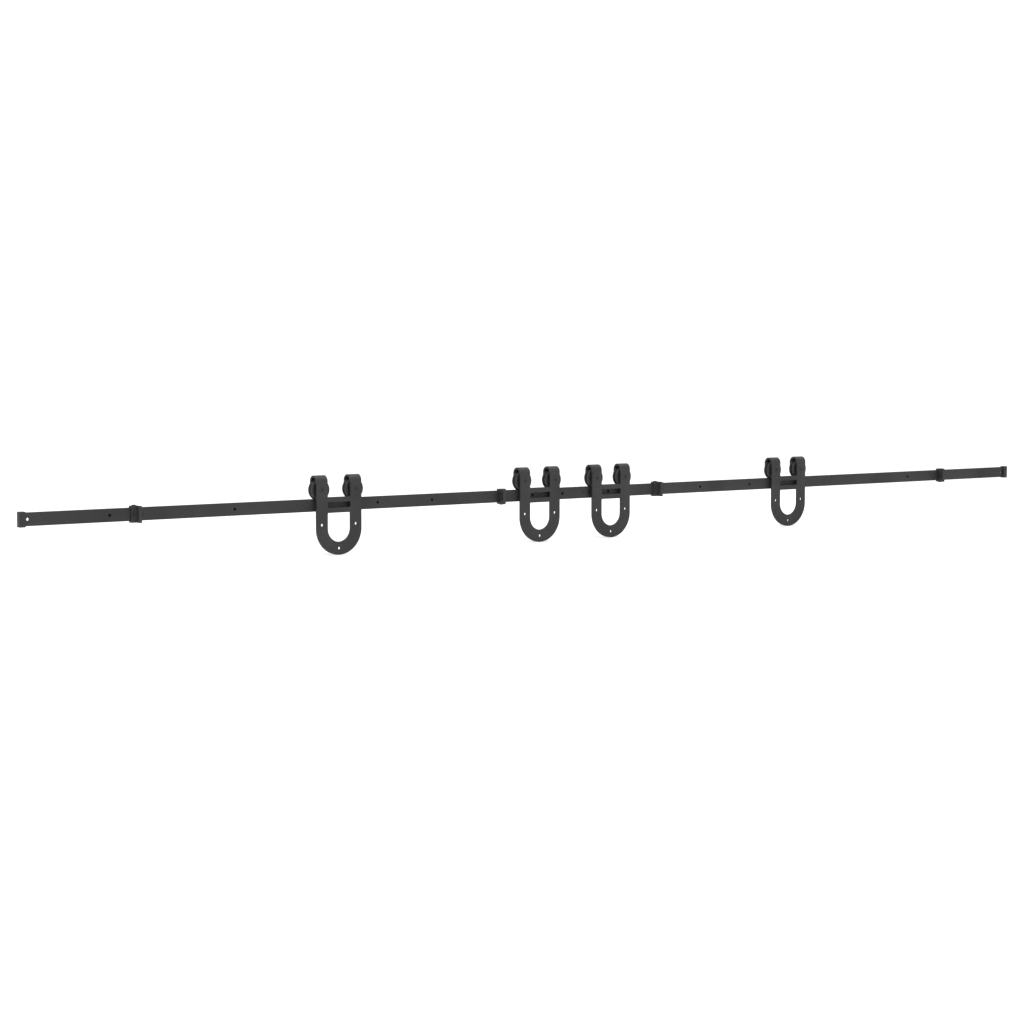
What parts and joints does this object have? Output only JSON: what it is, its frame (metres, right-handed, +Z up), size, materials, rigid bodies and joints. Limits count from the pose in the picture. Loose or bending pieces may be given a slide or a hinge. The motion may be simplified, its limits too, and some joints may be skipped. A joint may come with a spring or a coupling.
{
  "type": "sliding barn door hardware",
  "caption": "Flat bar track with wall spacers, end caps and clamp stops, carrying horseshoe hangers that roll on grooved wheels to slide a pair of doors.",
  "frame": {"origin": "on the wall plane, at the joint of the two rails and at the rails' mid-height", "axes": "+X along the track to the right as seen from the room, +Y into the wall, +Z up"},
  "size_m": [4.006, 0.068, 0.239],
  "materials": {
    "rail_coat": "matte black powder coat",
    "hanger_coat": "matte black powder coat",
    "stop_coat": "matte black powder coat",
    "spacer_coat": "matte black powder coat",
    "wheel_coat": "satin black, rubbed smooth in the groove",
    "black_screw": "black oxide",
    "bearing_steel": "ground bearing steel",
    "cap_plastic": "matte moulded plastic",
    "rubber": "matte black rubber"
  },
  "bodies": {
    "track": {"rail_left": "rail_coat", "rail_right": "rail_coat", "splice_plate": "rail_coat", "splice_screws": "black_screw", "wall_spacers": "spacer_coat", "end_cap_left": "cap_plastic", "end_cap_right": "cap_plastic", "end_cap_screws": "black_screw", "stop_1_clamp": "stop_coat", "stop_1_bumper": "rubber", "stop_1_screws": "black_screw", "stop_2_clamp": "stop_coat", "stop_2_bumper": "rubber", "stop_2_screws": "black_screw", "stop_3_clamp": "stop_coat", "stop_3_bumper": "rubber", "stop_3_screws": "black_screw", "stop_4_clamp": "stop_coat", "stop_4_bumper": "rubber", "stop_4_screws": "black_screw"},
    "hanger_1": {"hanger_1_plate": "hanger_coat", "hanger_1_axle_bolts": "black_screw", "hanger_1_lock_nuts": "black_screw", "hanger_1_inner_rings": "bearing_steel", "hanger_1_sleeves": "bearing_steel"},
    "hanger_2": {"hanger_2_plate": "hanger_coat", "hanger_2_axle_bolts": "black_screw", "hanger_2_lock_nuts": "black_screw", "hanger_2_inner_rings": "bearing_steel", "hanger_2_sleeves": "bearing_steel"},
    "hanger_3": {"hanger_3_plate": "hanger_coat", "hanger_3_axle_bolts": "black_screw", "hanger_3_lock_nuts": "black_screw", "hanger_3_inner_rings": "bearing_steel", "hanger_3_sleeves": "bearing_steel"},
    "hanger_4": {"hanger_4_plate": "hanger_coat", "hanger_4_axle_bolts": "black_screw", "hanger_4_lock_nuts": "black_screw", "hanger_4_inner_rings": "bearing_steel", "hanger_4_sleeves": "bearing_steel"},
    "roller_1_left": {"wheel_1_left": "wheel_coat", "wheel_1_left_bearing": "bearing_steel"},
    "roller_1_right": {"wheel_1_right": "wheel_coat", "wheel_1_right_bearing": "bearing_steel"},
    "roller_2_left": {"wheel_2_left": "wheel_coat", "wheel_2_left_bearing": "bearing_steel"},
    "roller_2_right": {"wheel_2_right": "wheel_coat", "wheel_2_right_bearing": "bearing_steel"},
    "roller_3_left": {"wheel_3_left": "wheel_coat", "wheel_3_left_bearing": "bearing_steel"},
    "roller_3_right": {"wheel_3_right": "wheel_coat", "wheel_3_right_bearing": "bearing_steel"},
    "roller_4_left": {"wheel_4_left": "wheel_coat", "wheel_4_left_bearing": "bearing_steel"},
    "roller_4_right": {"wheel_4_right": "wheel_coat", "wheel_4_right_bearing": "bearing_steel"}
  },
  "joints": [
    {"name": "hanger_1_slide", "type": "slide", "parent": "track", "child": "hanger_1", "axis": [1, 0, 0], "range_m": [-0.574, 0.519]},
    {"name": "hanger_2_slide", "type": "slide", "parent": "track", "child": "hanger_2", "axis": [1, 0, 0], "range_m": [-0.0445, 0.054]},
    {"name": "hanger_3_slide", "type": "slide", "parent": "track", "child": "hanger_3", "axis": [1, 0, 0], "range_m": [-0.054, 0.1065]},
    {"name": "hanger_4_slide", "type": "slide", "parent": "track", "child": "hanger_4", "axis": [1, 0, 0], "range_m": [-0.496, 0.686]},
    {"name": "roller_1_left_spin", "type": "hinge", "parent": "hanger_1", "child": "roller_1_left", "pos_m": [-1.0425, -0.041, 0.0458], "axis": [0, 1, 0], "continuous": true},
    {"name": "roller_1_right_spin", "type": "hinge", "parent": "hanger_1", "child": "roller_1_right", "pos_m": [-0.9235, -0.041, 0.0458], "axis": [0, 1, 0], "continuous": true},
    {"name": "roller_2_left_spin", "type": "hinge", "parent": "hanger_2", "child": "roller_2_left", "pos_m": [-0.2865, -0.041, 0.0458], "axis": [0, 1, 0], "continuous": true},
    {"name": "roller_2_right_spin", "type": "hinge", "parent": "hanger_2", "child": "roller_2_right", "pos_m": [-0.1675, -0.041, 0.0458], "axis": [0, 1, 0], "continuous": true},
    {"name": "roller_3_left_spin", "type": "hinge", "parent": "hanger_3", "child": "roller_3_left", "pos_m": [0.0055, -0.041, 0.0458], "axis": [0, 1, 0], "continuous": true},
    {"name": "roller_3_right_spin", "type": "hinge", "parent": "hanger_3", "child": "roller_3_right", "pos_m": [0.1245, -0.041, 0.0458], "axis": [0, 1, 0], "continuous": true},
    {"name": "roller_4_left_spin", "type": "hinge", "parent": "hanger_4", "child": "roller_4_left", "pos_m": [0.8005, -0.041, 0.0458], "axis": [0, 1, 0], "continuous": true},
    {"name": "roller_4_right_spin", "type": "hinge", "parent": "hanger_4", "child": "roller_4_right", "pos_m": [0.9195, -0.041, 0.0458], "axis": [0, 1, 0], "continuous": true}
  ],
  "couplings": [
    {"joint": "roller_1_left_spin", "follows": "hanger_1_slide", "rad_per_m": 37.736},
    {"joint": "roller_1_right_spin", "follows": "hanger_1_slide", "rad_per_m": 37.736},
    {"joint": "roller_2_left_spin", "follows": "hanger_2_slide", "rad_per_m": 37.736},
    {"joint": "roller_2_right_spin", "follows": "hanger_2_slide", "rad_per_m": 37.736},
    {"joint": "roller_3_left_spin", "follows": "hanger_3_slide", "rad_per_m": 37.736},
    {"joint": "roller_3_right_spin", "follows": "hanger_3_slide", "rad_per_m": 37.736},
    {"joint": "roller_4_left_spin", "follows": "hanger_4_slide", "rad_per_m": 37.736},
    {"joint": "roller_4_right_spin", "follows": "hanger_4_slide", "rad_per_m": 37.736}
  ]
}
